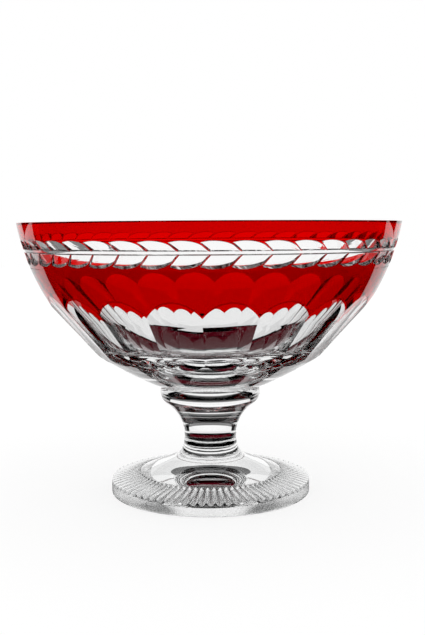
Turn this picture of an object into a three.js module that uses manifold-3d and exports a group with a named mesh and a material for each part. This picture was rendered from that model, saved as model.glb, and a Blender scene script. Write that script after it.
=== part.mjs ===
// Footed salad bowl: clear crystal cased in ruby, cut with a laurel border and a ring of flutes.
// Lengths are millimetres and angles are degrees. +Z is up, and the front of the photograph is -Y.
import * as THREE from 'three';
import { mergeVertices } from 'three/addons/utils/BufferGeometryUtils.js';
import Module from 'manifold-3d';

const wasm = await Module();
wasm.setup();
const { Manifold, Mesh } = wasm;

// Heights of the fused gathers, from the table up
const FOOT_HEIGHT = 31;
const STEM_HEIGHT = 28.6;
const MERESE_HEIGHT = 10.6;
const BOWL_HEIGHT = 108.8;

// Bowl wall: two ellipses about one centre, which lies above the rim. Inside, a straight wall along the
// flutes and a shallow pan follow
const RIM_RADIUS = 125;
const RIM_WALL = 5.2;
const RIM_BEVEL = 0.8;
const WALL_CENTRE_ABOVE_RIM = 28.5;
const WALL_PAST_BASE = 3.4;
const CAVITY_ABOVE_BASE = 9;
const FLOOR_THICKNESS = 22;
const PAN_RADIUS = 300;
const PAN_BLEND = 2;
const PAN_CORNER = 3;
const BASE_HEIGHT = 20.2;
const BASE_BULGE = 0.5;

// Ruby casing on the outside of the wall
const CASING_THICKNESS = 0.6;
const CASING_CLEARANCE = 0.25;
const CASING_BELOW_ARCH = 23.3;

// Flutes: facets round the wall, straight from top to bottom and hollow from side to side
const FLUTE_COUNT = 20;
const FLUTE_TOP = 44.7;
const FLUTE_HOLLOW_RADIUS = 130;
const PATTERN_TURN = -2.3;

// Laurel border: a vein with a row of leaves above it and a row below it, cut through the casing
const VEIN_BELOW_RIM = 17.65;
const VEIN_HALF_WIDTH = 1.05;
const LEAF_COUNT = 44;
const LEAF_LEAN = 5.6;
const LEAF_BAR = 0.9;
const UPPER_LEAF_TIP = 5.2;
const UPPER_LEAF_CROWN = 6.5;
const LOWER_LEAF_TIP = 6.7;
const LOWER_LEAF_CROWN = 8.5;
const LEAF_MARGIN = 1.2;

// Merese, the round collar under the bowl
const COLLAR_TOP_RADIUS = 32.5;
const COLLAR_RADIUS = 33.3;
const COLLAR_BELOW_BOWL = 3.5;

// Stem and the flare of the foot: arcs that run into one another at the waist and at the joint
const STEM_TOP_RADIUS = 29.5;
const WAIST_RADIUS = 17.4;
const WAIST_ABOVE_FOOT = 6.3;
const WAIST_ROUND = 33;
const FLARE_ROUND = 11.5;
const FLARE_END = 66;

// Foot
const FOOT_RADIUS = 66.2;
const FOOT_EDGE_HEIGHT = 9.4;
const FOOT_EDGE_CHAMFER = 0.9;
const FOOT_HOLLOW_RADIUS = 36;
const FOOT_HOLLOW_HEIGHT = 4;
const RIB_COUNT = 76;
const RIB_START_RADIUS = 47;
const RIB_START_HEIGHT = 13.6;
const RIB_SETBACK = 0.8;
const RIB_START_DEPTH = 0.9;
const RIB_EDGE_DEPTH = 2.4;
const RIB_CREST = 0.5;

// Facets
const BOWL_STEPS = 2 * LEAF_COUNT;
const FLUTE_STEPS = 4;
const STEM_STEPS = 48;
const CUT_OVERRUN = 1;

// Levels and reaches that follow from the sizes above
const STEM_Z = FOOT_HEIGHT;
const MERESE_Z = STEM_Z + STEM_HEIGHT;
const BOWL_Z = MERESE_Z + MERESE_HEIGHT;
const RIM_Z = BOWL_Z + BOWL_HEIGHT;
const WALL_CENTRE_Z = RIM_Z + WALL_CENTRE_ABOVE_RIM;
const WALL_DROP = WALL_CENTRE_ABOVE_RIM + BOWL_HEIGHT + WALL_PAST_BASE;
const FLUTE_BOTTOM = BOWL_HEIGHT - BASE_HEIGHT;
const CASING_REACH = FLUTE_TOP + CASING_BELOW_ARCH;
const WAIST_Z = FOOT_HEIGHT + WAIST_ABOVE_FOOT;

const radians = THREE.MathUtils.degToRad;

// A triangle mesh made from a geometry, with shared corners and no empty triangles
function solid(geometry) {
  const bare = new THREE.BufferGeometry();
  bare.setAttribute('position', geometry.getAttribute('position'));
  bare.setIndex(geometry.getIndex());
  const merged = mergeVertices(bare, 1e-4);
  const index = merged.getIndex().array;
  const triangles = [];
  for (let i = 0; i < index.length; i += 3) {
    const [a, b, c] = [index[i], index[i + 1], index[i + 2]];
    if (a !== b && b !== c && c !== a) {
      triangles.push(a, b, c);
    }
  }
  return new Manifold(new Mesh({
    numProp: 3,
    vertProperties: new Float32Array(merged.getAttribute('position').array),
    triVerts: new Uint32Array(triangles),
  }));
}

// A body turned about +Z from an outline of [radius, height] points that runs upwards on its outside
function turned(outline, steps) {
  const points = outline.map(([radius, height]) => new THREE.Vector2(radius, height));
  const geometry = new THREE.LatheGeometry(points, steps, radians(PATTERN_TURN), 2 * Math.PI);
  geometry.rotateX(Math.PI / 2);
  return solid(geometry);
}

// Points on an arc of [radius, height] about a centre, from one angle to another
function arc(centre, size, from, to, steps) {
  const points = [];
  for (let i = 0; i <= steps; i += 1) {
    const angle = radians(from + ((to - from) * i) / steps);
    points.push([centre[0] + size * Math.cos(angle), centre[1] + size * Math.sin(angle)]);
  }
  return points;
}

// Half width of an ellipse about the wall's centre, from its drop and one point on it
function halfWidth(radius, below, drop) {
  return radius / Math.sqrt(1 - (below / drop) ** 2);
}

const WALL_HALF_WIDTH = halfWidth(RIM_RADIUS, WALL_CENTRE_ABOVE_RIM, WALL_DROP);
const CAVITY_DROP = WALL_CENTRE_Z - BOWL_Z - CAVITY_ABOVE_BASE;
const CAVITY_HALF_WIDTH = halfWidth(RIM_RADIUS - RIM_WALL, WALL_CENTRE_ABOVE_RIM, CAVITY_DROP);

// The wall's outer face at a depth below the rim: its radius, height, and outward normal
function wallAt(depth) {
  const below = WALL_CENTRE_ABOVE_RIM + depth;
  const radius = WALL_HALF_WIDTH * Math.sqrt(1 - (below / WALL_DROP) ** 2);
  const normal = new THREE.Vector2(radius / WALL_HALF_WIDTH ** 2, -below / WALL_DROP ** 2).normalize();
  return { radius, height: RIM_Z - depth, normal };
}

// Points on the wall's outer face, or a distance inside it, from one depth to another
function wallLine(from, to, inset, steps) {
  const points = [];
  for (let i = 0; i <= steps; i += 1) {
    const { radius, height, normal } = wallAt(from + ((to - from) * i) / steps);
    points.push([radius - inset * normal.x, height - inset * normal.y]);
  }
  return points;
}

// Points on the cavity, from the rim bevel down to the middle of its floor: the ellipse, then a straight
// wall parallel to the flutes, and the pan
function cavityLine(steps) {
  const top = wallAt(FLUTE_TOP);
  const bottom = wallAt(FLUTE_BOTTOM);
  const grade = (top.height - bottom.height) / (top.radius - bottom.radius);
  const start = Math.acos((WALL_CENTRE_ABOVE_RIM + RIM_BEVEL) / CAVITY_DROP);
  const end = Math.atan((grade * CAVITY_HALF_WIDTH) / CAVITY_DROP);
  const points = [];
  for (let i = 0; i <= steps; i += 1) {
    const angle = start + ((end - start) * i) / steps;
    points.push([CAVITY_HALF_WIDTH * Math.sin(angle), WALL_CENTRE_Z - CAVITY_DROP * Math.cos(angle)]);
  }
  points[0][1] = RIM_Z - RIM_BEVEL;
  const [reach, level] = points[steps];
  const floor = BOWL_Z + FLOOR_THICKNESS;
  const rise = floor - level + grade * reach;
  const corner = PAN_RADIUS * (grade - Math.sqrt(grade ** 2 - (2 * rise) / PAN_RADIUS));
  for (const radius of [corner + PAN_CORNER, corner, corner - PAN_CORNER, corner / 2, corner / 4, 0]) {
    const side = level - grade * (reach - radius);
    const pan = floor + radius ** 2 / (2 * PAN_RADIUS);
    points.push([radius, (side + pan + Math.hypot(side - pan, PAN_BLEND)) / 2]);
  }
  return points;
}

// A shell of the casing over a net of triangles between [turn, depth] points
function casingShell(net) {
  const count = net.points.length;
  const positions = [];
  for (const inset of [0, CASING_THICKNESS]) {
    for (const [turn, depth] of net.points) {
      const { radius, height, normal } = wallAt(depth);
      const reach = radius - inset * normal.x;
      const level = depth === 0 ? height : height - inset * normal.y;
      positions.push(reach * Math.sin(turn), -reach * Math.cos(turn), level);
    }
  }
  const edges = new Set();
  for (const [a, b, c] of net.triangles) {
    edges.add(`${a} ${b}`).add(`${b} ${c}`).add(`${c} ${a}`);
  }
  const index = [];
  for (const [a, b, c] of net.triangles) {
    index.push(a, b, c, c + count, b + count, a + count);
    for (const [from, to] of [[a, b], [b, c], [c, a]]) {
      if (!edges.has(`${to} ${from}`)) {
        index.push(to, from, from + count, to, from + count, to + count);
      }
    }
  }
  const geometry = new THREE.BufferGeometry();
  geometry.setAttribute('position', new THREE.Float32BufferAttribute(positions, 3));
  geometry.setIndex(index);
  return solid(geometry);
}

// A net that outlines of [turn, depth] points are added to; points that meet become one
function casingNet() {
  const net = { points: [], triangles: [] };
  const known = new Map();
  const turnStep = 1e-6;
  const pointAt = ([turn, depth]) => {
    const whole = 2 * Math.PI;
    const place = ((turn % whole) + whole) % whole;
    const key = `${Math.round(place / turnStep) % Math.round(whole / turnStep)} ${depth.toFixed(5)}`;
    if (!known.has(key)) {
      known.set(key, net.points.length);
      net.points.push([place, depth]);
    }
    return known.get(key);
  };
  net.add = (outline) => {
    const flat = outline.map(([turn, depth]) => new THREE.Vector2(turn * RIM_RADIUS, -depth));
    const corners = outline.map(pointAt);
    for (const [a, b, c] of THREE.ShapeUtils.triangulateShape(flat, [])) {
      net.triangles.push([corners[a], corners[b], corners[c]]);
    }
  };
  return net;
}

// The edge of the leaves as [turn, depth] points, from one tip along its crown to the next tip
function leafEdge(tip, crown, side, turn) {
  const { radius, normal } = wallAt(VEIN_BELOW_RIM);
  const pitch = (2 * Math.PI * radius) / LEAF_COUNT;
  const length = pitch + LEAF_LEAN - LEAF_BAR;
  const bar = (share) => new THREE.Vector2(length - LEAF_LEAN * share, tip * share);
  const start = new THREE.Vector2(0, tip);
  const top = new THREE.Vector2(length / 3, crown * 1.15);
  const arch = new THREE.CubicBezierCurve(start, top, bar(1.05), bar(0.6)).getPoints(5);
  const edge = [...arch, bar(0), new THREE.Vector2(pitch + LEAF_LEAN, 0), new THREE.Vector2(pitch, tip)];
  return edge.map(({ x, y }) => {
    const rise = side * (VEIN_HALF_WIDTH + y) * normal.x;
    return [turn + x / radius, VEIN_BELOW_RIM - rise];
  });
}

// The depth of a level line that clears the crowns of a row of leaves
function leafLimit(crown, side) {
  return VEIN_BELOW_RIM - side * (VEIN_HALF_WIDTH + crown + LEAF_MARGIN);
}

// Level strips of the casing over one leaf's share of the turn
function addStrips(net, depths, turn, step) {
  for (let i = 0; i + 1 < depths.length; i += 1) {
    for (const from of [turn, turn + step]) {
      const to = from + step;
      net.add([[from, depths[i]], [from, depths[i + 1]], [to, depths[i + 1]], [to, depths[i]]]);
    }
  }
}

// The body that the flutes leave: its sides are the facets, carried on past the wall at both ends
function fluteBody() {
  const top = wallAt(FLUTE_TOP);
  const bottom = wallAt(FLUTE_BOTTOM);
  const slope = (top.radius - bottom.radius) / (top.height - bottom.height);
  const low = BOWL_Z - CUT_OVERRUN;
  const high = RIM_Z + CUT_OVERRUN;
  const columns = FLUTE_COUNT * FLUTE_STEPS;
  const rows = 6;
  const positions = [0, 0, low, 0, 0, high];
  for (let i = 0; i <= rows; i += 1) {
    const height = low + ((high - low) * i) / rows;
    const middle = Math.max(1, bottom.radius + slope * (height - bottom.height));
    for (let j = 0; j < columns; j += 1) {
      const offset = ((2 * Math.PI) / columns) * ((j % FLUTE_STEPS) - FLUTE_STEPS / 2);
      const hollow = (2 * Math.sin(offset) ** 2 * middle) / FLUTE_HOLLOW_RADIUS;
      const radius = (2 * middle) / (Math.cos(offset) + Math.sqrt(Math.cos(offset) ** 2 - hollow));
      const turn = radians(PATTERN_TURN) + (2 * Math.PI * j) / columns;
      positions.push(radius * Math.sin(turn), -radius * Math.cos(turn), height);
    }
  }
  const index = [];
  const at = (i, j) => 2 + i * columns + (j % columns);
  for (let j = 0; j < columns; j += 1) {
    index.push(0, at(0, j + 1), at(0, j), 1, at(rows, j), at(rows, j + 1));
    for (let i = 0; i < rows; i += 1) {
      index.push(at(i, j), at(i, j + 1), at(i + 1, j + 1), at(i, j), at(i + 1, j + 1), at(i + 1, j));
    }
  }
  const geometry = new THREE.BufferGeometry();
  geometry.setAttribute('position', new THREE.Float32BufferAttribute(positions, 3));
  geometry.setIndex(index);
  return solid(geometry);
}

const flutes = fluteBody();

// Crystal bowl
function crystalBowl() {
  const recess = CASING_THICKNESS + CASING_CLEARANCE;
  const cased = wallLine(CASING_REACH, 0, recess, 6);
  cased[cased.length - 1][1] = RIM_Z;
  const bare = wallLine(FLUTE_BOTTOM, CASING_REACH, 0, 2);
  const low = wallAt(FLUTE_BOTTOM);
  const middle = [
    (low.radius + COLLAR_TOP_RADIUS) / 2 + BASE_BULGE,
    (low.height + BOWL_Z) / 2 - BASE_BULGE,
  ];
  const cavity = cavityLine(6);
  const bevel = [cavity[0][0] + RIM_BEVEL, RIM_Z];
  const blank = turned(
    [[0, BOWL_Z], [COLLAR_TOP_RADIUS, BOWL_Z], middle, ...bare, ...cased, bevel, ...cavity],
    BOWL_STEPS,
  );
  return blank.intersect(flutes);
}

// Ruby bands, the two parts of the casing that the cutting leaves
function rubyRimBand() {
  const net = casingNet();
  const step = (2 * Math.PI) / BOWL_STEPS;
  const limit = leafLimit(UPPER_LEAF_CROWN, 1);
  for (let i = 0; i < LEAF_COUNT; i += 1) {
    const turn = radians(PATTERN_TURN) + 2 * step * i;
    const edge = leafEdge(UPPER_LEAF_TIP, UPPER_LEAF_CROWN, 1, turn);
    addStrips(net, [0, limit], turn, step);
    net.add([[turn, limit], ...edge, [turn + 2 * step, limit], [turn + step, limit]]);
  }
  return casingShell(net);
}

function rubyLowerBand() {
  const net = casingNet();
  const step = (2 * Math.PI) / BOWL_STEPS;
  const limit = leafLimit(LOWER_LEAF_CROWN, -1);
  const depths = [0, 1, 2, 3].map((i) => limit + ((CASING_REACH - limit) * i) / 3);
  for (let i = 0; i < LEAF_COUNT; i += 1) {
    const turn = radians(PATTERN_TURN) + 2 * step * i;
    const edge = leafEdge(LOWER_LEAF_TIP, LOWER_LEAF_CROWN, -1, turn);
    addStrips(net, depths, turn, step);
    net.add([[turn, limit], [turn + step, limit], [turn + 2 * step, limit], ...edge.reverse()]);
  }
  return casingShell(net).intersect(flutes);
}

// An arc of [radius, height] points that stands upright at one end and leaves it for another point
function roundFrom(upright, end, steps) {
  const spread = end[0] - upright[0];
  const rise = end[1] - upright[1];
  const size = (spread ** 2 + rise ** 2) / (2 * spread);
  const sweep = THREE.MathUtils.radToDeg(Math.atan2(rise / size, 1 - spread / size));
  return arc([upright[0] + size, upright[1]], -size, 0, -sweep, steps);
}

// Merese
function merese() {
  const widest = [COLLAR_RADIUS, BOWL_Z - COLLAR_BELOW_BOWL];
  const under = roundFrom(widest, [STEM_TOP_RADIUS, MERESE_Z], 5).reverse();
  const over = roundFrom(widest, [COLLAR_TOP_RADIUS, BOWL_Z], 3);
  return turned([[0, MERESE_Z], ...under, ...over.slice(1), [0, BOWL_Z]], STEM_STEPS);
}

// The waist below its narrowest place and the flare of the foot, as points that run upwards
function flareLine(steps) {
  const joint = THREE.MathUtils.radToDeg(Math.asin(WAIST_ABOVE_FOOT / WAIST_ROUND));
  const waist = arc([WAIST_RADIUS + WAIST_ROUND, WAIST_Z], WAIST_ROUND, 180 + joint, 180, 2);
  const reach = (FLARE_ROUND / WAIST_ROUND) * (WAIST_RADIUS + WAIST_ROUND - waist[0][0]);
  const rise = (FLARE_ROUND / WAIST_ROUND) * WAIST_ABOVE_FOOT;
  const centre = [waist[0][0] + reach, FOOT_HEIGHT + rise];
  return { stem: waist, foot: arc(centre, FLARE_ROUND, 180 + FLARE_END, 180 + joint, steps) };
}

// Stem
function stem() {
  const neck = roundFrom([WAIST_RADIUS, WAIST_Z], [STEM_TOP_RADIUS, MERESE_Z], 6);
  return turned([[0, STEM_Z], ...flareLine(4).stem, ...neck.slice(1), [0, MERESE_Z]], STEM_STEPS);
}

// One rib groove: a wedge that starts inside the ribbed ring and runs out over the edge of the foot
function ribCut(turn) {
  const slope = (FOOT_EDGE_HEIGHT - RIB_START_HEIGHT) / (FOOT_RADIUS - RIB_START_RADIUS);
  const ends = [
    [RIB_START_RADIUS + RIB_SETBACK, RIB_START_DEPTH],
    [FOOT_RADIUS, RIB_EDGE_DEPTH],
  ];
  const corners = ends.map(([radius, depth]) => {
    const half = (Math.PI * radius) / RIB_COUNT - RIB_CREST / 2;
    const top = RIB_START_HEIGHT + slope * (radius - RIB_START_RADIUS);
    const spread = (half * (depth + CUT_OVERRUN)) / depth;
    const root = new THREE.Vector3(0, radius, top - depth);
    const left = new THREE.Vector3(-spread, radius, top + CUT_OVERRUN);
    const right = new THREE.Vector3(spread, radius, top + CUT_OVERRUN);
    return [root, left, right];
  });
  const reach = 1 + CUT_OVERRUN / (FOOT_RADIUS - RIB_START_RADIUS);
  const beyond = corners[1].map((corner, i) => corners[0][i].clone().lerp(corner, reach));
  const geometry = new THREE.BufferGeometry();
  geometry.setFromPoints([...corners[0], ...beyond]);
  geometry.setIndex([0, 2, 1, 3, 4, 5, 0, 4, 3, 0, 1, 4, 0, 5, 2, 0, 3, 5, 1, 5, 4, 1, 2, 5]);
  geometry.rotateZ(turn);
  return solid(geometry);
}

// Foot
function foot() {
  const hollow = (FOOT_HOLLOW_RADIUS ** 2 + FOOT_HOLLOW_HEIGHT ** 2) / (2 * FOOT_HOLLOW_HEIGHT);
  const sweep = THREE.MathUtils.radToDeg(Math.asin(FOOT_HOLLOW_RADIUS / hollow));
  const underside = arc([0, FOOT_HOLLOW_HEIGHT - hollow], hollow, 90, 90 - sweep, 3);
  underside[0][0] = 0;
  const blank = turned(
    [
      ...underside,
      [FOOT_RADIUS - FOOT_EDGE_CHAMFER, 0],
      [FOOT_RADIUS, FOOT_EDGE_CHAMFER],
      [FOOT_RADIUS, FOOT_EDGE_HEIGHT],
      [RIB_START_RADIUS, RIB_START_HEIGHT],
      ...flareLine(4).foot,
      [0, FOOT_HEIGHT],
    ],
    RIB_COUNT,
  );
  const ribs = [];
  for (let i = 0; i < RIB_COUNT; i += 1) {
    ribs.push(ribCut((2 * Math.PI * (i + 0.5)) / RIB_COUNT + radians(PATTERN_TURN)));
  }
  return blank.subtract(Manifold.union(ribs));
}

// Named meshes
const crystal = { color: 0xe8eef0, roughness: 0.02, metalness: 0, transparent: true, opacity: 0.5 };
const ruby = { color: 0xb00010, roughness: 0.02, metalness: 0, transparent: true, opacity: 0.8 };

function piece(name, body, finish) {
  const { vertProperties, triVerts, numProp } = body.getMesh();
  const positions = new Float32Array((vertProperties.length / numProp) * 3);
  for (let i = 0; i < positions.length / 3; i += 1) {
    positions.set(vertProperties.subarray(i * numProp, i * numProp + 3), i * 3);
  }
  const geometry = new THREE.BufferGeometry();
  geometry.setAttribute('position', new THREE.BufferAttribute(positions, 3));
  geometry.setIndex(new THREE.BufferAttribute(new Uint32Array(triVerts), 1));
  geometry.computeVertexNormals();
  const mesh = new THREE.Mesh(geometry, new THREE.MeshStandardMaterial(finish));
  mesh.name = name;
  return mesh;
}

const group = new THREE.Group();
group.name = 'footed_salad_bowl';
group.add(piece('crystal_bowl', crystalBowl(), crystal));
group.add(piece('ruby_rim_band', rubyRimBand(), ruby));
group.add(piece('ruby_lower_band', rubyLowerBand(), ruby));
group.add(piece('merese', merese(), crystal));
group.add(piece('stem', stem(), crystal));
group.add(piece('foot', foot(), crystal));

export default group;
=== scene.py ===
# Footed salad bowl in ruby-cased cut crystal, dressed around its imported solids.
# Sizes are millimetres, and become metres in the meshes. +Z is up and the front is -Y.
import math

import bpy
import numpy as np
from mathutils import Matrix, Vector
from mathutils.geometry import tessellate_polygon


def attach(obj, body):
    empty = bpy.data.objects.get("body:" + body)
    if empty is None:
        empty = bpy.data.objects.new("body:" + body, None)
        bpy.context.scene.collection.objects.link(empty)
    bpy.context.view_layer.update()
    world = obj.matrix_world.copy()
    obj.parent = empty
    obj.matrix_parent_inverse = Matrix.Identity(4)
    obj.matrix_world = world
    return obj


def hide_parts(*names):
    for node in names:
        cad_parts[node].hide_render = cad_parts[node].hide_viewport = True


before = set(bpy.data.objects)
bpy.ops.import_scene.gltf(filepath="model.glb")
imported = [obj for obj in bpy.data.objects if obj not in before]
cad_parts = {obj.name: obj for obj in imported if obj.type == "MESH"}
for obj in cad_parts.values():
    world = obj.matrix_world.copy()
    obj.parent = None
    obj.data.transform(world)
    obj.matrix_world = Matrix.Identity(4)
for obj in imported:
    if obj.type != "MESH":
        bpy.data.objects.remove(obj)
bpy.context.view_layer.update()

# Levels of the fused gathers
FOOT_HEIGHT = 31.0
MERESE_Z = 59.6
BOWL_Z = 70.2
RIM_Z = 179.0

# Bowl wall: two ellipses about one centre, which lies above the rim, and a shallow pan inside
RIM_RADIUS = 125.0
RIM_WALL = 5.2
RIM_BEVEL = 0.8
WALL_CENTRE_ABOVE_RIM = 28.5
WALL_DROP = 140.7
CAVITY_ABOVE_BASE = 9.0
FLOOR_THICKNESS = 22.0
PAN_RADIUS = 300.0
PAN_BLEND = 2.0
BASE_BULGE = 0.5

# Ruby casing and the cuts through it
CASING = 0.3
FLUTE_COUNT = 20
FLUTE_TOP = 44.7
FLUTE_BOTTOM = 88.6
FLUTE_HOLLOW_RADIUS = 130.0
FLUTE_MIDDLE = 68.0
FLUTE_SPILL = 8.0
ARCH_MARGIN = 0.6
PATTERN_TURN = math.radians(-2.3)

# Laurel border
VEIN_BELOW_RIM = 17.65
VEIN_HALF_WIDTH = 1.05
VEIN_CUT = 0.5
VEIN_ROOT_DROP = 0.7
LEAF_COUNT = 44
LEAF_LEAN = 5.6
LEAF_BAR = 0.9
UPPER_LEAF_TIP = 5.2
UPPER_LEAF_CROWN = 6.5
LOWER_LEAF_TIP = 6.7
LOWER_LEAF_CROWN = 8.5
LEAF_MARGIN = 1.2
LEAF_SLANT = 0.26
LEAF_SKIM = 0.05
LEAF_EDGE = 0.3
LEAF_WALL = 1.4
LEAF_WALL_SHARE = 0.8
LEAF_CROWN_PULL = 1.15
LEAF_BAR_PULL = 1.05
LEAF_BAR_SHARE = 0.6
LEAF_SPINE_START = (0.16, 0.75)
LEAF_SPINE_END = (0.72, 0.30)

# Merese
COLLAR_TOP_RADIUS = 32.5
COLLAR_RADIUS = 33.3
COLLAR_BELOW_BOWL = 3.5

# Stem and flare: arcs that run into one another at the waist and at the joint
STEM_TOP_RADIUS = 29.5
WAIST_RADIUS = 17.4
WAIST_Z = 37.3
WAIST_ROUND = 33.0
FLARE_ROUND = 11.5
FLARE_END = math.radians(66)

# Foot
FOOT_RADIUS = 66.2
FOOT_EDGE_HEIGHT = 9.4
FOOT_EDGE_CHAMFER = 0.9
FOOT_HOLLOW_RADIUS = 36.0
FOOT_HOLLOW_HEIGHT = 4.0
RIB_COUNT = 76
RIB_START_RADIUS = 47.0
RIB_START_HEIGHT = 13.6
RIB_SETBACK = 1.2
RIB_START_DEPTH = 0.9
RIB_EDGE_DEPTH = 2.4

# Fineness of the skins: a rib's rows are distances from its start, a leaf's are shares of its width
BOWL_STEPS = 440
STEM_STEPS = 160
RIB_STEPS = 10
RIB_ROWS = (0, 0.3, 0.7, RIB_SETBACK, 2.5, 5, 8, 12, 16)
LEAF_ROWS = (0, 0.35, 0.7, 1)
MERGE = 1e-4
METRE = 1e-3

# Glass: ranges of roughness, scales of wear and waves per metre, and tints that run between two heights
GLASS_INDEX = 1.54
POLISHED = (0.0, 0.004)
GROUND = (0.1, 0.18)
WEAR_SCALE = 90.0
WAVE_SCALE = 60.0
WAVE_DEPTH = 0.02
CRYSTAL_TINTS = ((0.985, 0.99, 0.99), (1.0, 1.0, 1.0))
CRYSTAL_TINT_TO = 180.0
GROUND_TINTS = ((0.97, 0.97, 0.97), (0.99, 0.99, 0.99))
GROUND_TINT_TO = 10.0
RUBY_TINTS = ((0.36, 0.0, 0.0), (0.66, 0.0, 0.0))
RUBY_TINT_FROM = 145.0
RUBY_TINT_TO = 165.0

# Studio: a backdrop, tones of the table in rings about the axis with painted shadow under the foot and
# behind the bowl, and a dark room; angles are degrees
FLOOR_HALF = 4000.0
FLOOR_Z = -0.3
TABLE_Z = -0.2
PANEL_AWAY = 1200.0
PANEL_HALF = 1060.0
PANEL_LOW = -2.0
PANEL_HIGH = 370.0
DIM_HIGH = 720.0
ROUND_HALF = 110
# Rings of the table: painted shadow under the foot inside FOOT_LIGHT_FROM, and behind the bowl out to
# SHADOW_TO with a band of painted red shadow
FOOT_LIGHT_FROM = 38.0
FOOT_LIGHT_TO = 76.0
PAINTED_RED_SHADOW_FROM = 140.0
PAINTED_RED_SHADOW_TO = 230.0
SHADOW_TO = 400.0
SHADOW_HALF = 38
MIRROR_FROM = 110.0
MIRROR_TURN = 120
SIDE_FROM = 300.0
TABLE_TO = 1500.0
DOME_RADIUS = 2500.0
DOME_TILT = 1.57

# Camera, fitted to the photograph
CAMERA_AT = (0.0, -624.1, 173.3)
CAMERA_PITCH = 84.75
CAMERA_PAN = -0.17
CAMERA_ROLL = -0.32
CAMERA_LENS = 53.35
CAMERA_SENSOR = 36.0

WALL_CENTRE_Z = RIM_Z + WALL_CENTRE_ABOVE_RIM
CAVITY_DROP = WALL_CENTRE_Z - BOWL_Z - CAVITY_ABOVE_BASE


def half_width(radius, below, drop):
    return radius / math.sqrt(1 - (below / drop) ** 2)


WALL_HALF_WIDTH = half_width(RIM_RADIUS, WALL_CENTRE_ABOVE_RIM, WALL_DROP)
CAVITY_HALF_WIDTH = half_width(RIM_RADIUS - RIM_WALL, WALL_CENTRE_ABOVE_RIM, CAVITY_DROP)


def unit(vectors):
    return vectors / np.maximum(np.linalg.norm(vectors, axis=-1, keepdims=True), 1e-12)


def spun(radius, height, turn):
    """Points at a radius and height, turned about the axis from the front."""
    radius, height, turn = np.broadcast_arrays(radius, height, turn)
    return np.stack([radius * np.sin(turn), -radius * np.cos(turn), height], axis=-1)


class Skin:
    """The closed surface of one piece, made of patches with their own finish and normals."""

    def __init__(self, name):
        self.name = name
        self.points = []
        self.known = {}
        self.faces = []
        self.slots = []
        self.normals = []

    def corners(self, points):
        """Indices of points; points that meet share one."""
        found = []
        for key, point in zip(np.round(points / MERGE).astype(np.int64).tolist(), points.tolist()):
            place = self.known.setdefault(tuple(key), len(self.points))
            if place == len(self.points):
                self.points.append(point)
            found.append(place)
        return found

    def face(self, corners, normals, slot):
        kept = [i for i, corner in enumerate(corners) if corner != corners[i - 1]]
        if len(kept) > 2:
            self.faces.append([corners[i] for i in kept])
            self.normals.extend(normals[i] for i in kept)
            self.slots.append(slot)

    def patch(self, points, normals, slot):
        """A grid of quads that look the way their normals do."""
        rows, columns = points.shape[:2]
        index = np.array(self.corners(points.reshape(-1, 3))).reshape(rows, columns)
        across = np.cross(points[1:, 1:] - points[:-1, :-1], points[1:, :-1] - points[:-1, 1:])
        ahead = (across * (normals[:-1, :-1] + normals[1:, 1:])).sum() > 0
        lists = normals.tolist()
        for i in range(rows - 1):
            for j in range(columns - 1):
                ring = [(i, j), (i, j + 1), (i + 1, j + 1), (i + 1, j)]
                ring = ring if ahead else ring[::-1]
                self.face([index[a, b] for a, b in ring], [lists[a][b] for a, b in ring], slot)

    def sheet(self, flat, points, normals, slot):
        """A flat outline cut into triangles and laid on the wall."""
        index = self.corners(points)
        lists = normals.tolist()
        for triangle in tessellate_polygon([[Vector((x, y, 0)) for x, y in flat]]):
            a, b, c = triangle
            across = np.cross(points[b] - points[a], points[c] - points[a])
            order = (a, b, c) if across @ normals[a] > 0 else (a, c, b)
            self.face([index[i] for i in order], [lists[i] for i in order], slot)

    def turned(self, line, slot, steps):
        """A patch turned from [radius, height] points that run upwards on the outside."""
        line = np.array(line, float)
        along = np.gradient(line, axis=0)
        side = unit(np.stack([along[:, 1], -along[:, 0]], axis=-1))[:, :, None]
        turns = PATTERN_TURN + np.linspace(0, 2 * math.pi, steps + 1)
        points = spun(line[:, 0, None], line[:, 1, None], turns)
        self.patch(points, spun(side[:, 0], side[:, 1], turns), slot)

    def build(self, finishes):
        mesh = bpy.data.meshes.new(self.name)
        mesh.from_pydata((np.array(self.points) * METRE).tolist(), [], self.faces)
        for finish in finishes:
            mesh.materials.append(finish)
        mesh.polygons.foreach_set("material_index", self.slots)
        mesh.polygons.foreach_set("use_smooth", [True] * len(self.faces))
        mesh.normals_split_custom_set(self.normals)
        piece = bpy.data.objects.new(self.name, mesh)
        bpy.context.scene.collection.objects.link(piece)
        return piece


def arc(centre, size, start, end, steps):
    angles = np.linspace(start, end, steps + 1)
    return np.stack([centre[0] + size * np.cos(angles), centre[1] + size * np.sin(angles)], axis=-1)


def wall_radius(depth):
    """Radius of the bowl's outer face, at depths below the rim."""
    return WALL_HALF_WIDTH * np.sqrt(1 - ((WALL_CENTRE_ABOVE_RIM + depth) / WALL_DROP) ** 2)


def wall(turn, depth, inset=0.0):
    """Points and normals of the bowl's outer face, or of a face a little inside it."""
    depth = np.asarray(depth, float)
    below = WALL_CENTRE_ABOVE_RIM + depth
    radius = wall_radius(depth)
    side = unit(np.stack([radius / WALL_HALF_WIDTH ** 2, -below / WALL_DROP ** 2], axis=-1))
    reach = radius - inset * side[..., 0]
    height = np.minimum(RIM_Z, WALL_CENTRE_Z - below - inset * side[..., 1])
    return spun(reach, height, turn), spun(side[..., 0], side[..., 1], turn)


# Flutes: facets that are straight from top to bottom and hollow from side to side
flute_slope = (wall_radius(FLUTE_TOP) - wall_radius(FLUTE_BOTTOM)) / (FLUTE_BOTTOM - FLUTE_TOP)


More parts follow.
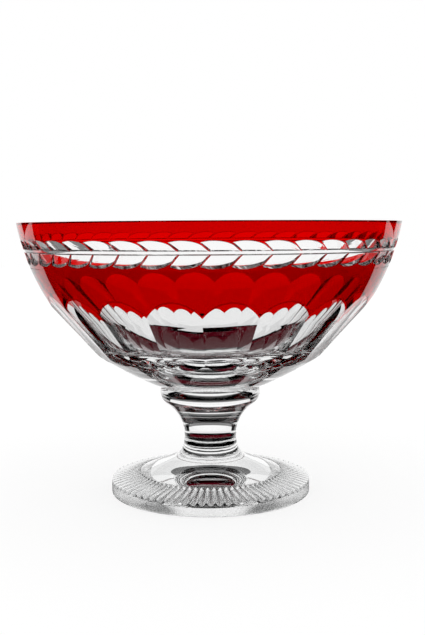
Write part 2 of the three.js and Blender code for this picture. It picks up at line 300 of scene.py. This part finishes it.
def facet(height, offset):
    """Radius of a flute, at heights and angles from its middle line."""
    middle = wall_radius(FLUTE_TOP) + flute_slope * (height - RIM_Z + FLUTE_TOP)
    inner = np.cos(offset) ** 2 - 2 * np.sin(offset) ** 2 * middle / FLUTE_HOLLOW_RADIUS
    return 2 * middle / (np.cos(offset) + np.sqrt(inner))


def facet_normals(height, offset, middle):
    """Normals of a flute whose middle line is at an angle round the bowl."""
    across = -facet(height, offset) * np.sin(offset) / FLUTE_HOLLOW_RADIUS
    out = spun(np.ones_like(across), np.full_like(across, -flute_slope), middle)
    return unit(out + spun(across, np.zeros_like(across), middle + math.pi / 2))


def facet_meets_wall(offset, inset, low, high):
    """Depths at which the flutes leave the wall, at angles from their middle lines."""
    def inside(depth):
        points, _ = wall(0 * offset, depth, inset)
        return np.hypot(points[..., 0], points[..., 1]) < facet(points[..., 2], offset)

    low = np.full(offset.shape, low)
    high = np.full(offset.shape, high)
    start = inside(low)
    for _ in range(60):
        middle = (low + high) / 2
        same = inside(middle) == start
        low = np.where(same, middle, low)
        high = np.where(same, high, middle)
    return high


turns = PATTERN_TURN + np.linspace(0, 2 * math.pi, BOWL_STEPS + 1)
flute_share = 2 * math.pi / FLUTE_COUNT
flute_steps = BOWL_STEPS // FLUTE_COUNT
offsets = np.linspace(-flute_share / 2, flute_share / 2, flute_steps + 1)
offsets_round = np.concatenate([np.tile(offsets[:-1], FLUTE_COUNT), offsets[:1]])
flute_middles = turns - offsets_round
arch_outside = facet_meets_wall(offsets_round, 0.0, FLUTE_TOP - FLUTE_SPILL, FLUTE_MIDDLE)
arch_inside = facet_meets_wall(offsets_round, CASING, FLUTE_TOP - FLUTE_SPILL, FLUTE_MIDDLE)
flute_end = facet_meets_wall(offsets_round, 0.0, FLUTE_BOTTOM + FLUTE_SPILL, FLUTE_MIDDLE)
arch_level = arch_outside.min() - ARCH_MARGIN

# Laurel leaves
vein_points, vein_normals = wall(0.0, VEIN_BELOW_RIM)
vein_radius = -vein_points[1]
vein_slope = -vein_normals[1]
leaf_pitch = 2 * math.pi * vein_radius / LEAF_COUNT
leaf_length = leaf_pitch + LEAF_LEAN - LEAF_BAR


def leaf_outline(tip, crown):
    """Runs of points round one leaf, along the vein and above it."""
    def bar(share):
        return np.array([leaf_length - LEAF_LEAN * share, tip * share])

    t = np.linspace(0, 1, 19)[:, None]
    weights = [(1 - t) ** 3, 3 * t * (1 - t) ** 2, 3 * t * t * (1 - t), t ** 3]
    start = np.array([0.0, tip])
    pull = np.array([leaf_length / 3, crown * LEAF_CROWN_PULL])
    corners = [start, pull, bar(LEAF_BAR_PULL), bar(LEAF_BAR_SHARE)]
    arch = sum(weight * corner for weight, corner in zip(weights, corners))
    front = np.linspace(bar(LEAF_BAR_SHARE), bar(0), 6)[1:]
    base = np.linspace([leaf_length, 0], [LEAF_LEAN, 0], 11)
    back = np.linspace([LEAF_LEAN, 0], [0, tip], 9)
    return np.concatenate([arch, front]), base, back


def on_border(local, side, leaf):
    """Turns and depths of leaf points, on the upper side (1) or the lower side (-1) of the vein."""
    turn = PATTERN_TURN + (local[:, 0] + leaf * leaf_pitch) / vein_radius
    return turn, VEIN_BELOW_RIM - side * (VEIN_HALF_WIDTH + local[:, 1]) * vein_slope


def leaf_limit(crown, side):
    return VEIN_BELOW_RIM - side * (VEIN_HALF_WIDTH + crown + LEAF_MARGIN)


BORDERS = {1: (UPPER_LEAF_TIP, UPPER_LEAF_CROWN), -1: (LOWER_LEAF_TIP, LOWER_LEAF_CROWN)}


def casing_face(skin, side, inset, slot):
    """The face of one ruby band, at a distance inside the wall."""
    tip, crown = BORDERS[side]
    limit = leaf_limit(crown, side)
    rows = np.linspace(0, limit, 4) if side == 1 else np.linspace(limit, arch_level, 6)
    skin.patch(*wall(turns, rows[:, None], inset), slot)
    crest, _, back = leaf_outline(tip, crown)
    share = BOWL_STEPS // LEAF_COUNT
    for leaf in range(LEAF_COUNT):
        turn_a, depth_a = on_border(crest, side, leaf)
        turn_b, depth_b = on_border(back, side, leaf + 1)
        far_side = turns[leaf * share:(leaf + 1) * share + 1][::-1]
        turn = np.concatenate([turn_a, turn_b, far_side])
        depth = np.concatenate([depth_a, depth_b, np.full(share + 1, limit)])
        points, normals = wall(turn, depth, inset)
        skin.sheet(np.stack([turn * RIM_RADIUS, -depth], axis=-1), points, normals, slot)
    if side == -1:
        ends = arch_outside if inset == 0 else arch_inside
        rows = arch_level + (ends - arch_level) * np.linspace(0, 1, 6)[:, None]
        skin.patch(*wall(turns, rows, inset), slot)


def casing_edges(skin, side, slot):
    """The cut edges of one ruby band."""
    crest, _, back = leaf_outline(*BORDERS[side])
    for leaf in range(LEAF_COUNT):
        turn_a, depth_a = on_border(crest, side, leaf)
        turn_b, depth_b = on_border(back, side, leaf + 1)
        bar_end = (np.array([turn_a[-1], turn_b[0]]), depth_b[[0, 0]])
        for turn, depth in ((turn_a, depth_a), bar_end, (turn_b, depth_b)):
            outer, normals = wall(turn, depth)
            inner, _ = wall(turn, depth, CASING)
            along = np.gradient(outer, axis=0)
            facing = unit(np.cross(along, normals)) * side
            skin.patch(np.stack([outer, inner]), np.stack([facing, facing]), slot)
    if side == 1:
        outer, _ = wall(turns, np.zeros(len(turns)))
        inner, _ = wall(turns, np.zeros(len(turns)), CASING)
        up = np.zeros_like(outer) + [0, 0, 1]
        skin.patch(np.stack([outer, inner]), np.stack([up, up]), slot)
    else:
        outer, _ = wall(turns, arch_outside)
        inner, _ = wall(turns, arch_inside, CASING)
        facing = [facet_normals(rim[:, 2], offsets_round, flute_middles) for rim in (outer, inner)]
        skin.patch(np.stack([outer, inner]), np.stack(facing), slot)


def turn_over(skin, other):
    """Adds another skin's faces, looking the other way."""
    index = skin.corners(np.array(other.points))
    start = 0
    for face, slot in zip(other.faces, other.slots):
        normals = [[-a for a in n] for n in other.normals[start:start + len(face)]]
        start += len(face)
        skin.face([index[i] for i in face][::-1], normals[::-1], slot)


def ruby_band(name, side):
    skin = Skin(name)
    casing_face(skin, side, 0.0, 0)
    skin_inner = Skin(name)
    casing_face(skin_inner, side, CASING, 1)
    turn_over(skin, skin_inner)
    casing_edges(skin, side, 0)
    return skin


def leaf_pocket(skin, side, leaf, slot):
    """The cut of one leaf: a floor that slants inwards from top to bottom, and a wall round it."""
    tip, crown = BORDERS[side]
    crest, base, back = leaf_outline(tip, crown)
    loop = np.concatenate([crest, base[1:], back[1:-1]])
    step = np.roll(loop, -1, axis=0) - np.roll(loop, 1, axis=0)
    inner = unit(np.stack([step[:, 1], -step[:, 0]], axis=-1))
    width = np.full(len(loop), LEAF_EDGE)
    if side == -1:
        t = np.clip(np.linspace(0, 1, len(crest)) / LEAF_WALL_SHARE, 0, 1)
        width[:len(crest)] += (LEAF_WALL - LEAF_EDGE) * np.sin(math.pi * t)
    shoulder = loop + inner * width[:, None]
    start = np.array([leaf_length, tip]) * LEAF_SPINE_START
    end = np.array([leaf_length, tip]) * LEAF_SPINE_END
    spine = end - start
    feet = start + np.clip(((shoulder - start) @ spine) / (spine @ spine), 0, 1)[:, None] * spine

    def cut(spots):
        if side == -1:
            return LEAF_SLANT * np.maximum(spots[:, 1], 0) + LEAF_SKIM
        top = np.interp(spots[:, 0], crest[:, 0], crest[:, 1])
        return LEAF_SLANT * np.maximum(top - spots[:, 1], 0) + LEAF_SKIM

    rings = [wall(*on_border(loop, side, leaf), CASING)[0]]
    for share in LEAF_ROWS:
        spots = shoulder + (feet - shoulder) * share
        points, normals = wall(*on_border(spots, side, leaf), CASING + cut(spots))
        rings.append(points)
    rings = np.array(rings)
    rings = np.concatenate([rings, rings[:, :1]], axis=1)
    normals = np.concatenate([normals, normals[:1]], axis=0)
    for grid in (rings[:2], rings[1:]):
        around = np.roll(grid[:, :-1], -1, axis=1) - np.roll(grid[:, :-1], 1, axis=1)
        around = np.concatenate([around, around[:, :1]], axis=1)
        facing = np.cross(around, np.gradient(grid, axis=0))
        if len(grid) > 2:
            facing[-1] = facing[-2]
        facing = unit(facing)
        facing = facing * np.sign((facing * normals).sum(axis=-1))[..., None]
        skin.patch(grid, facing, slot)


def vein(skin, slot):
    """The groove between the two rows of leaves."""
    _, base, _ = leaf_outline(*BORDERS[1])
    local = np.concatenate([base[::-1] + [leaf * leaf_pitch, 0] for leaf in range(LEAF_COUNT)])
    local = np.concatenate([local, local[:1] + [LEAF_COUNT * leaf_pitch, 0]])
    turn, above = on_border(local, 1, 0)
    _, under = on_border(local, -1, 0)
    root_depth = np.full(len(turn), VEIN_BELOW_RIM + VEIN_ROOT_DROP)
    root, normals = wall(turn, root_depth, CASING + VEIN_CUT)
    for depth in (above, under):
        edge, _ = wall(turn, depth, CASING)
        facing = unit(np.cross(np.gradient(edge, axis=0), root - edge))
        facing = facing * np.sign((facing * normals).sum(axis=-1))[..., None]
        skin.patch(np.stack([edge, root]), np.stack([facing, facing]), slot)


def join_rings(skin, line):
    """Joins a coarse ring to a fine one, at the ends of a line of two [radius, height] points."""
    blocks = math.gcd(BOWL_STEPS, STEM_STEPS)
    fine = BOWL_STEPS // blocks
    coarse = STEM_STEPS // blocks
    low = PATTERN_TURN + np.linspace(0, 2 * math.pi, STEM_STEPS + 1)
    tilt = unit(np.array([line[1][1] - line[0][1], line[0][0] - line[1][0]]))
    for block in range(blocks):
        a = low[block * coarse:(block + 1) * coarse + 1]
        b = turns[block * fine:(block + 1) * fine + 1][::-1]
        turn = np.concatenate([a, b])
        height = np.concatenate([np.full(len(a), line[0][1]), np.full(len(b), line[1][1])])
        radius = np.concatenate([np.full(len(a), line[0][0]), np.full(len(b), line[1][0])])
        normals = spun(tilt[0], tilt[1], turn)
        flat = np.stack([turn * RIM_RADIUS, height], axis=-1)
        skin.sheet(flat, spun(radius, height, turn), normals, 0)


def bowl_base(skin):
    """The face on the collar, and the clear base that rises from it to the flutes."""
    skin.turned([[0, BOWL_Z], [COLLAR_TOP_RADIUS, BOWL_Z]], 1, STEM_STEPS)
    low = np.array([wall_radius(FLUTE_BOTTOM), RIM_Z - FLUTE_BOTTOM])
    lip = np.array([COLLAR_TOP_RADIUS, BOWL_Z])
    t = np.linspace(0, 1, 9)[:, None]
    line = lip + (low - lip) * t + 4 * BASE_BULGE * t * (1 - t) * np.array([1, -1])
    skin.turned(line[1:], 0, BOWL_STEPS)
    join_rings(skin, line[:2])


def flutes(skin):
    """The hollow flutes, and the strip of wall between their ends and the base."""
    strip = np.stack([flute_end, np.full(len(turns), FLUTE_BOTTOM)])
    skin.patch(*wall(turns, strip), 0)
    top, _ = wall(turns, arch_inside, CASING)
    bottom, _ = wall(turns, flute_end)
    down = np.linspace(0, 1, 25)[:, None]
    for flute in range(FLUTE_COUNT):
        columns = slice(flute * flute_steps, (flute + 1) * flute_steps + 1)
        middle = PATTERN_TURN + (flute + 0.5) * flute_share
        heights = top[columns, 2] + (bottom[columns, 2] - top[columns, 2]) * down
        points = spun(facet(heights, offsets), heights, middle + offsets)
        points[0] = top[columns]
        points[-1] = bottom[columns]
        skin.patch(points, facet_normals(heights, offsets, middle), 0)


def cavity_line():
    """The inside from the rim to the axis: an ellipse, a straight wall along the flutes, and the pan."""
    start = math.acos((WALL_CENTRE_ABOVE_RIM + RIM_BEVEL) / CAVITY_DROP)
    end = math.atan(CAVITY_HALF_WIDTH / CAVITY_DROP / flute_slope)
    angles = np.linspace(start, end, 31)
    upper_radius = CAVITY_HALF_WIDTH * np.sin(angles)
    upper_height = WALL_CENTRE_Z - CAVITY_DROP * np.cos(angles)
    reach = np.linspace(upper_radius[-1], 0, 91)
    side = upper_height[-1] - (upper_radius[-1] - reach) / flute_slope
    pan = BOWL_Z + FLOOR_THICKNESS + reach ** 2 / (2 * PAN_RADIUS)
    lower_height = (side + pan + np.hypot(side - pan, PAN_BLEND)) / 2
    radius = np.concatenate([upper_radius, reach[1:]])
    height = np.concatenate([upper_height, lower_height[1:]])
    return np.stack([radius, height], axis=-1)


def crystal_bowl():
    skin = Skin("crystal_bowl_cut")
    bowl_base(skin)
    flutes(skin)
    for side in BORDERS:
        casing_face(skin, side, CASING, 1)
        for leaf in range(LEAF_COUNT):
            leaf_pocket(skin, side, leaf, 0)
    vein(skin, 0)
    cavity = cavity_line()
    rim, _ = wall(0.0, 0.0, CASING)
    bevel = arc([cavity[0, 0] + RIM_BEVEL, RIM_Z - RIM_BEVEL], RIM_BEVEL, math.pi / 2, math.pi, 5)
    skin.turned([[-rim[1], RIM_Z], bevel[0]], 0, BOWL_STEPS)
    skin.turned(bevel, 0, BOWL_STEPS)
    skin.turned(np.concatenate([bevel[-1:], cavity[1:]]), 0, BOWL_STEPS)
    return skin


def round_from(upright, end, steps):
    """An arc that stands upright at one end and leaves it for another point."""
    spread = end[0] - upright[0]
    rise = end[1] - upright[1]
    size = (spread ** 2 + rise ** 2) / (2 * spread)
    sweep = math.atan2(rise / size, 1 - spread / size)
    return arc([upright[0] + size, upright[1]], -size, 0, -sweep, steps)


def merese():
    skin = Skin("merese_collar")
    widest = [COLLAR_RADIUS, BOWL_Z - COLLAR_BELOW_BOWL]
    under = round_from(widest, [STEM_TOP_RADIUS, MERESE_Z], 20)
    over = round_from(widest, [COLLAR_TOP_RADIUS, BOWL_Z], 10)
    skin.turned([[0, MERESE_Z], under[-1]], 1, STEM_STEPS)
    skin.turned(np.concatenate([under[::-1], over[1:]]), 0, STEM_STEPS)
    skin.turned([over[-1], [0, BOWL_Z]], 1, STEM_STEPS)
    return skin


joint_turn = math.asin((WAIST_Z - FOOT_HEIGHT) / WAIST_ROUND)
waist_line = arc([WAIST_RADIUS + WAIST_ROUND, WAIST_Z], WAIST_ROUND, math.pi + joint_turn, math.pi, 10)
flare_centre = waist_line[0] + FLARE_ROUND * np.array([math.cos(joint_turn), math.sin(joint_turn)])


def stem():
    skin = Skin("stem_waisted")
    neck = round_from([WAIST_RADIUS, WAIST_Z], [STEM_TOP_RADIUS, MERESE_Z], 24)
    skin.turned([[0, FOOT_HEIGHT], waist_line[0]], 1, STEM_STEPS)
    skin.turned(np.concatenate([waist_line[:-1], neck]), 0, STEM_STEPS)
    skin.turned([neck[-1], [0, MERESE_Z]], 1, STEM_STEPS)
    return skin


def ribs(skin):
    """The hollow cuts side by side on the foot, and the upright edge of the foot below their ends."""
    length = FOOT_RADIUS - RIB_START_RADIUS
    along = np.array([*RIB_ROWS, length])
    level = RIB_START_HEIGHT + (FOOT_EDGE_HEIGHT - RIB_START_HEIGHT) * along / length
    depth = RIB_START_DEPTH + (RIB_EDGE_DEPTH - RIB_START_DEPTH) * along / length
    depth = depth * np.sin(np.clip(along / RIB_SETBACK, 0, 1) * math.pi / 2)
    across = np.linspace(-1, 1, RIB_STEPS + 1)
    radii = RIB_START_RADIUS + along[:, None]
    heights = level[:, None] - depth[:, None] * (1 - across ** 2)
    share = 2 * math.pi / RIB_COUNT
    for rib in range(RIB_COUNT):
        turn = PATTERN_TURN + (rib + 0.5 + across / 2) * share
        points = spun(radii, heights, turn)
        facing = unit(np.cross(np.gradient(points, axis=1), np.gradient(points, axis=0)))
        facing = facing * np.sign(facing[..., 2:])
        skin.patch(points, facing, 0)
        edge = np.stack([spun(FOOT_RADIUS, FOOT_EDGE_CHAMFER, turn), points[-1]])
        skin.patch(edge, spun(1.0, 0.0, np.stack([turn, turn])), 0)


def foot():
    skin = Skin("foot_ribbed")
    steps = RIB_COUNT * RIB_STEPS
    hollow = (FOOT_HOLLOW_RADIUS ** 2 + FOOT_HOLLOW_HEIGHT ** 2) / (2 * FOOT_HOLLOW_HEIGHT)
    sweep = math.asin(FOOT_HOLLOW_RADIUS / hollow)
    under = arc([0, FOOT_HOLLOW_HEIGHT - hollow], hollow, math.pi / 2, math.pi / 2 - sweep, 12)
    under[0, 0] = 0
    heel = FOOT_RADIUS - FOOT_EDGE_CHAMFER
    skin.turned(under, 0, steps)
    skin.turned([under[-1], [heel, 0]], 2, steps)
    chamfer = arc([heel, FOOT_EDGE_CHAMFER], FOOT_EDGE_CHAMFER, -math.pi / 2, 0, 4)
    skin.turned(chamfer, 0, steps)
    ribs(skin)
    flare = arc(flare_centre, FLARE_ROUND, math.pi + FLARE_END, math.pi + joint_turn, 20)
    skin.turned([[RIB_START_RADIUS, RIB_START_HEIGHT], flare[0]], 0, steps)
    skin.turned(flare, 0, steps)
    skin.turned([flare[-1], [0, FOOT_HEIGHT]], 1, steps)
    return skin


# Materials
def glass(name, tints, tint_from, tint_to, polish):
    """Glass with its tint running between two heights, and with a little waviness and wear."""
    material = bpy.data.materials.new(name)
    material.use_nodes = True
    nodes = material.node_tree.nodes
    links = material.node_tree.links
    shader = nodes["Principled BSDF"]
    shader.inputs["Transmission Weight"].default_value = 1.0
    shader.inputs["IOR"].default_value = GLASS_INDEX
    place = nodes.new("ShaderNodeTexCoord")
    parts = nodes.new("ShaderNodeSeparateXYZ")
    height = nodes.new("ShaderNodeMapRange")
    height.inputs["From Min"].default_value = tint_from * METRE
    height.inputs["From Max"].default_value = tint_to * METRE
    ramp = nodes.new("ShaderNodeValToRGB")
    ramp.color_ramp.elements[0].color = (*tints[0], 1)
    ramp.color_ramp.elements[1].color = (*tints[1], 1)
    links.new(place.outputs["Object"], parts.inputs["Vector"])
    links.new(parts.outputs["Z"], height.inputs["Value"])
    links.new(height.outputs["Result"], ramp.inputs["Fac"])
    links.new(ramp.outputs["Color"], shader.inputs["Base Color"])
    wear = nodes.new("ShaderNodeTexNoise")
    wear.inputs["Scale"].default_value = WEAR_SCALE
    wear.inputs["Detail"].default_value = 2.0
    rough = nodes.new("ShaderNodeMapRange")
    rough.inputs["To Min"].default_value = polish[0]
    rough.inputs["To Max"].default_value = polish[1]
    links.new(place.outputs["Object"], wear.inputs["Vector"])
    links.new(wear.outputs["Fac"], rough.inputs["Value"])
    links.new(rough.outputs["Result"], shader.inputs["Roughness"])
    wave = nodes.new("ShaderNodeTexNoise")
    wave.inputs["Scale"].default_value = WAVE_SCALE
    wave.inputs["Detail"].default_value = 0.0
    bump = nodes.new("ShaderNodeBump")
    bump.inputs["Strength"].default_value = 1.0
    bump.inputs["Distance"].default_value = WAVE_DEPTH * METRE
    links.new(place.outputs["Object"], wave.inputs["Vector"])
    links.new(wave.outputs["Fac"], bump.inputs["Height"])
    links.new(bump.outputs["Normal"], shader.inputs["Normal"])
    return material


def fused():
    """Faces inside the fused glass, which show nothing."""
    material = bpy.data.materials.new("fused_joint")
    material.use_nodes = True
    nodes = material.node_tree.nodes
    nodes.remove(nodes["Principled BSDF"])
    clear = nodes.new("ShaderNodeBsdfTransparent")
    material.node_tree.links.new(clear.outputs["BSDF"], nodes["Material Output"].inputs["Surface"])
    return material


crystal = glass("crystal_glass", CRYSTAL_TINTS, 0.0, CRYSTAL_TINT_TO, POLISHED)
ground = glass("ground_glass", GROUND_TINTS, 0.0, GROUND_TINT_TO, GROUND)
ruby = glass("ruby_glass", RUBY_TINTS, RUBY_TINT_FROM, RUBY_TINT_TO, POLISHED)
joint = fused()

# Pieces: each skin has its finish, its joint faces and, on the foot, the ground standing ring
PIECES = [
    (crystal_bowl(), "crystal_bowl", "crystal", crystal),
    (ruby_band("ruby_rim_casing", 1), "ruby_rim_band", "ruby", ruby),
    (ruby_band("ruby_lower_casing", -1), "ruby_lower_band", "ruby", ruby),
    (merese(), "merese", "crystal", crystal),
    (stem(), "stem", "crystal", crystal),
    (foot(), "foot", "crystal", crystal),
]
for skin, node, slot, finish in PIECES:
    piece = skin.build([finish, joint, ground] if node == "foot" else [finish, joint])
    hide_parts(node)
    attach(piece, "root")

# Studio: bright panels low round the bowl, a dark room above, and a table with painted shadow under the foot
# and behind the bowl, black with a band of painted red shadow.
# Only the glass sees them; the camera sees the white floor and the white world.
GLASS_ONLY = {"camera": False, "diffuse": False, "shadow": False}
GLASS_ONLY_DULL = {**GLASS_ONLY, "glossy": False}
MIRROR_ONLY = {**GLASS_ONLY, "transmission": False}
NOT_BY_GLASS = {"glossy": False, "transmission": False}


def set_up(piece, seen_by):
    """Sets which kinds of ray meet a piece of the studio."""
    for kind, seen in seen_by.items():
        setattr(piece, "visible_" + kind, seen)


def card(name, corners, finish, seen_by):
    """A flat sheet with four corners."""
    mesh = bpy.data.meshes.new(name)
    mesh.from_pydata((np.array(corners) * METRE).tolist(), [], [(0, 1, 2, 3)])
    mesh.materials.append(finish)
    piece = bpy.data.objects.new(name, mesh)
    bpy.context.scene.collection.objects.link(piece)
    set_up(piece, seen_by)


def upright(low, high):
    """Corners of the part of the backdrop between two heights."""
    around = [(-PANEL_HALF, low), (PANEL_HALF, low), (PANEL_HALF, high), (-PANEL_HALF, high)]
    return [(x, PANEL_AWAY, z) for x, z in around]


def screen(name, line, turn_from, turn_to, finish, seen_by):
    """A sheet swept round the axis from [radius, height] points, between two angles from the front."""
    skin = Skin(name)
    swept = np.radians(np.linspace(turn_from, turn_to, 49))
    line = np.array(line, float)
    points = spun(line[:, 0, None], line[:, 1, None], swept)
    skin.patch(points, np.zeros_like(points) + [0, 0, 1], 0)
    set_up(skin.build([finish]), seen_by)


def level_ring(name, radius_from, radius_to, turn_from, turn_to, finish, seen_by=GLASS_ONLY_DULL):
    """A ring of the table, or a part of one."""
    line = [[radius_from, TABLE_Z], [radius_to, TABLE_Z]]
    screen(name, line, turn_from, turn_to, finish, seen_by)


def matte(name, colour, strength=0.0, glow=(1, 1, 1)):
    material = bpy.data.materials.new(name)
    material.use_nodes = True
    shader = material.node_tree.nodes["Principled BSDF"]
    shader.inputs["Base Color"].default_value = (*colour, 1)
    shader.inputs["Roughness"].default_value = 1.0
    shader.inputs["Specular IOR Level"].default_value = 0.0
    shader.inputs["Emission Color"].default_value = (*glow, 1)
    shader.inputs["Emission Strength"].default_value = strength
    return material


white_floor = matte("floor_white", (0.2, 0.2, 0.2), 0.82)
white_card = matte("panel_white", (0, 0, 0), 1.0)
dim_card = matte("panel_dim", (0, 0, 0), 0.2)
table_card = matte("table_pale", (0, 0, 0), 0.85)
# Dark red glow: a painted red shadow that the ruby casing throws on the table behind the bowl
painted_red_shadow_card = matte("table_painted_red_shadow", (0, 0, 0), 0.08, (1, 0.02, 0.08))
# Black card: the dark room's flags and dome, and the painted shadow laid on the table under the foot and
# behind the bowl
black_flag_and_painted_shadow = matte("flag_black_and_painted_shadow", (0, 0, 0))

floor_corners = [(x * FLOOR_HALF, y * FLOOR_HALF, FLOOR_Z) for x, y in ((-1, -1), (1, -1), (1, 1), (-1, 1))]
card("floor", floor_corners, white_floor, NOT_BY_GLASS)
card("panel_back", upright(PANEL_LOW, PANEL_HIGH), white_card, GLASS_ONLY)
card("panel_dim", upright(PANEL_HIGH, DIM_HIGH), dim_card, GLASS_ONLY)

dark_from = 180 - SHADOW_HALF
dark_to = 180 + SHADOW_HALF
# Painted shadow on the table, seen only by the glass: a black disc under the foot, and black behind the bowl
# with a dark red band of painted red shadow from the casing
level_ring("table_painted_shadow_under_foot", 0.001, FOOT_LIGHT_FROM, 0, 360, black_flag_and_painted_shadow)
level_ring("table_foot", FOOT_LIGHT_FROM, FOOT_LIGHT_TO, 0, 360, white_card)
level_ring("table_shadow", FOOT_LIGHT_TO, PAINTED_RED_SHADOW_FROM, dark_from, dark_to, black_flag_and_painted_shadow)
level_ring("table_painted_red_shadow", PAINTED_RED_SHADOW_FROM, PAINTED_RED_SHADOW_TO, dark_from, dark_to, painted_red_shadow_card)
level_ring("table_painted_shadow_far", PAINTED_RED_SHADOW_TO, SHADOW_TO, dark_from, dark_to, black_flag_and_painted_shadow)
# The glass mirrors the table white only behind the bowl and beyond MIRROR_FROM; nearer, under the bowl, it
# mirrors the black dome, a painted shadow
level_ring("table_mirrored", MIRROR_FROM, TABLE_TO, MIRROR_TURN, 360 - MIRROR_TURN, white_card, MIRROR_ONLY)
level_ring("table_back", SHADOW_TO, TABLE_TO, dark_from, dark_to, table_card)
level_ring("table_front", SIDE_FROM, TABLE_TO, -90, 90, table_card)
level_ring("table_right", SIDE_FROM, TABLE_TO, 90, dark_from, table_card)
level_ring("table_left", SIDE_FROM, TABLE_TO, dark_to, 270, table_card)

round_panel = [[PANEL_AWAY, PANEL_LOW], [PANEL_AWAY, PANEL_HIGH]]
screen("panel_round", round_panel, -ROUND_HALF, ROUND_HALF, white_card, GLASS_ONLY_DULL)
dome = arc([0, 0], DOME_RADIUS, -DOME_TILT, DOME_TILT, 24)
screen("flag_dome", dome, 0, 360, black_flag_and_painted_shadow, GLASS_ONLY)

# World
world = bpy.data.worlds.new("studio")
bpy.context.scene.world = world
world.use_nodes = True
world.node_tree.nodes["Background"].inputs["Color"].default_value = (1, 1, 1, 1)
world.node_tree.nodes["Background"].inputs["Strength"].default_value = 1.0

# Camera
camera_data = bpy.data.cameras.new("camera")
camera = bpy.data.objects.new("camera", camera_data)
bpy.context.scene.collection.objects.link(camera)
camera_data.sensor_fit = "VERTICAL"
camera_data.sensor_height = CAMERA_SENSOR
camera_data.lens = CAMERA_LENS
camera_data.clip_start = 0.01
camera.matrix_world = (
    Matrix.Translation([METRE * place for place in CAMERA_AT])
    @ Matrix.Rotation(math.radians(CAMERA_PAN), 4, "Z")
    @ Matrix.Rotation(math.radians(CAMERA_PITCH), 4, "X")
    @ Matrix.Rotation(math.radians(CAMERA_ROLL), 4, "Z")
)
bpy.context.scene.camera = camera

# Light paths deep enough for glass behind glass
scene = bpy.context.scene
scene.view_settings.view_transform = "Standard"
scene.cycles.max_bounces = 48
scene.cycles.transmission_bounces = 48
scene.cycles.glossy_bounces = 16
scene.cycles.transparent_max_bounces = 64
